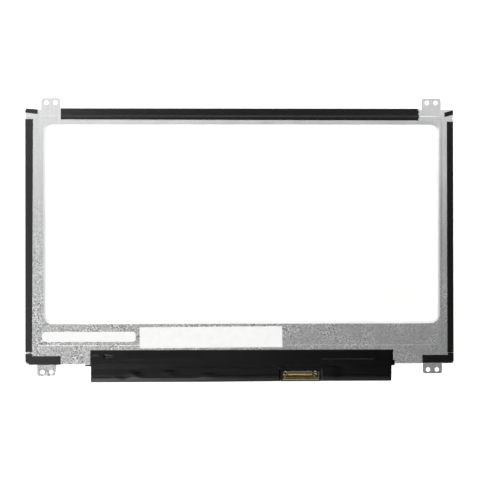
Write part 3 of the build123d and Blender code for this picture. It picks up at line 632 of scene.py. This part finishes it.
def socket_shell():
    """Shell of the cable socket: a tarnished roof, a lip with a painted highlight between bands of painted
    shade, latch loops and arms.
    """
    finishes_used = [tarnished_bronze, brown_shade_bronze, socket_lip_highlight_bronze, reflowed_tin]
    olive, brown_shade, socket_lip_highlight, tin = range(4)
    roof_width, roof_sheet = 21.4, 0.12
    lip_width = 22.9
    bm = bmesh.new()
    for path, width, sheet, finish in (
        ([(-84.5, 2.1), (-84.6, 2.15), (-84.8, 2.17), (-85.75, 2.17)], roof_width, roof_sheet, brown_shade),
        ([(-85.75, 2.17), (-86.3, 2.17)], roof_width, roof_sheet, olive),
        # Painted shade: dark brown on the band just below the roof's edge and on the lip's rounded front
        # edge.
        ([(-86.3, 2.02), (-87.0, 2.02)], lip_width, 0.04, brown_shade),
        # Painted highlight: pale along the lip, where it catches the light.
        ([(-87.0, 2.02), (-87.6, 2.02)], lip_width, 0.07, socket_lip_highlight),
        ([(-87.6, 2.02), (-88.1, 2.01), (-88.42, 1.98)], lip_width, 0.06, brown_shade),
    ):
        add_strip(bm, path, socket_x, width, sheet, finish)
    arm, arm_width = [(-82.6, 1.75), (-82.8, 1.95), (-83.0, 2.0), (-86.9, 2.0), (-87.6, 1.98)], 0.3
    for x, finish in ((49.2, tin), (26.6, brown_shade)):
        add_strip(bm, arm, x, arm_width, 0.1, finish)
    ear = [(-82.9, 2.0), (-83.3, 2.08), (-84.0, 2.1), (-85.2, 2.12)]
    for x, width in ((28.15, 1.8), (47.15, 2.8)):
        add_strip(bm, ear, x, width, 0.1, brown_shade)
    loop_level, bead_radius, bead_height = 2.27, 0.34, 0.2
    add_wire_loop(bm, (28.2, -83.4), 1.05, 1.15, loop_level, 0.16, tin)
    add_wire_loop(bm, (46.9, -82.9), 0.8, 0.75, loop_level, 0.15, tin)
    for place in ((27.1, -84.4, 2.22), (27.8, -85.7, 2.3), (47.75, -84.2, 2.22)):
        add_bead(bm, place, bead_radius, bead_height, tin)
    add_bead(bm, (46.35, -85.2, 2.3), 0.5, bead_height, olive)
    bmesh.ops.recalc_face_normals(bm, faces=bm.faces)
    shell = add_piece("socket_shell_latched", bm, finishes_used, smooth=False)
    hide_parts("socket_shell")


def socket_springs():
    """Contact springs of the cable socket, each with a hump that catches the light, and their tails."""
    spring, spring_width, spring_sheet = [
        (-82.72, 1.47), (-83.85, 1.47), (-84.05, 1.53), (-84.3, 1.66), (-84.55, 1.73),
        (-84.8, 1.7), (-85.1, 1.58), (-85.4, 1.49), (-86.2, 1.47), (-87.5, 1.47),
    ], 0.26, 0.11
    tail, tail_width, tail_sheet = [(-82.3, 1.08), (-82.4, 1.12), (-82.6, 1.14), (-82.72, 1.14)], 0.22, 0.03
    springs, tails = bmesh.new(), bmesh.new()
    for i in range(contact_count):
        x = contact_row_x + (i - (contact_count - 1) / 2) * contact_pitch
        add_strip(springs, spring, x, spring_width, spring_sheet)
        add_strip(tails, tail, x, tail_width, tail_sheet)
    for bm in (springs, tails):
        bmesh.ops.recalc_face_normals(bm, faces=bm.faces)
    contacts = add_piece("socket_contact_springs", springs, [contact_gold], smooth=False)
    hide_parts("socket_contacts")
    add_piece("socket_soldered_tails", tails, [reflowed_tin], smooth=False)


def studio_floor():
    """White light table, wide enough to fill every view."""
    half_width, gap_below_panel = 4.0, 0.02
    mesh = bpy.data.meshes.new("table_top")
    corners = [(-half_width, -half_width, 0), (half_width, -half_width, 0),
               (half_width, half_width, 0), (-half_width, half_width, 0)]
    mesh.from_pydata(corners, [], [(0, 1, 2, 3)])
    floor = bpy.data.objects.new("table_top", mesh)
    floor.location.z = cad_box[0][2] - gap_below_panel * MM
    bpy.context.scene.collection.objects.link(floor)
    # Opal acrylic, cast and lit a little from below: plain white without gloss.
    mesh.materials.append(plain_finish(
        "opal_acrylic_cast",
        {"Roughness": 0.8, "Emission Color": linear("#ffffff"), "Emission Strength": 0.75},
        "#f3f3f3", "#f5f5f5", 200,
    ))


def studio_light():
    """Soft boxes overhead, a wide bank along the top, a strip down the left, and leaning walls of light."""
    for name, place, width, depth, turn, radiance in (
        ("top_bank", (0.15, 0.72, 0.85), 1.7, 0.5, (0, 0, 0), 3.7),
        ("top_left_box", (-0.35, 0.55, 0.85), 0.5, 0.5, (0, 0, 0), 4.2),
        ("top_right_box", (0.55, 0.58, 0.85), 0.5, 0.5, (0, 0, 0), 5.5),
        ("far_box", (0.0, 1.5, 0.85), 0.9, 0.9, (0, 0, 0), 4.2),
        ("left_strip", (-0.28, -0.02, 0.85), 0.08, 0.84, (0, 0, 0), 2.5),
        ("front_left_strip", (-0.26, -0.34, 0.85), 0.3, 0.22, (0, 0, 0), 1.5),
        ("overhead_strip", (-0.07, -0.16, 0.85), 0.25, 0.2, (0, 0, 0), 0.58),
        ("front_strip", (-0.02, -0.49, 0.85), 0.34, 0.14, (0, 0, 0), 0.65),
        ("front_right_strip", (0.12, -0.21, 0.85), 0.2, 0.14, (0, 0, 0), 0.3),
        ("low_front_box", (-0.3, -1.02, 0.78), 0.55, 0.6, (0, 0, 0), 1.4),
        ("front_left_wall", (-0.42, -1.0, 0.48), 0.7, 1.1, (64.5, 0, 0), 2.9),
        ("front_right_wall", (0.12, -1.0, 0.48), 0.38, 1.1, (64.5, 0, 0), 0.75),
        ("left_wall", (-1.1, -0.1, 0.48), 1.1, 0.9, (0, -64.5, 0), 1.4),
    ):
        light = bpy.data.lights.new(name, "AREA")
        light.shape = "RECTANGLE"
        light.size, light.size_y = width, depth
        light.energy = radiance * math.pi * width * depth
        lamp = bpy.data.objects.new(name, light)
        lamp.location = place
        lamp.rotation_euler = [math.radians(angle) for angle in turn]
        bpy.context.scene.collection.objects.link(lamp)
    world = bpy.data.worlds.new("dim_room")
    world.use_nodes = True
    background = world.node_tree.nodes["Background"]
    background.inputs["Color"].default_value = linear("#ffffff")
    background.inputs["Strength"].default_value = 0.01
    bpy.context.scene.world = world
    bpy.context.scene.view_settings.view_transform = "Standard"


def photo_camera():
    """Camera above the panel, a degree off square, so that the left side is a little nearer."""
    camera = bpy.data.objects.new("photo_camera", bpy.data.cameras.new("photo_camera"))
    camera.data.lens = 100
    camera.data.sensor_width = 36
    aim = Vector((-0.05, 0.0, 2.7)) * MM
    distance = 833.6 * MM
    forward = Vector((0.0222, 0.0063, -1)).normalized()
    roll = math.radians(0.08)
    right = forward.cross(Vector((math.sin(roll), math.cos(roll), 0))).normalized()
    up = right.cross(forward)
    turned = Matrix((right, up, -forward)).transposed().to_4x4()
    turned.translation = aim - forward * distance
    camera.matrix_world = turned
    bpy.context.scene.collection.objects.link(camera)
    bpy.context.scene.camera = camera


cover_film()
socket_springs()
socket_shell()
studio_floor()
studio_light()
photo_camera()
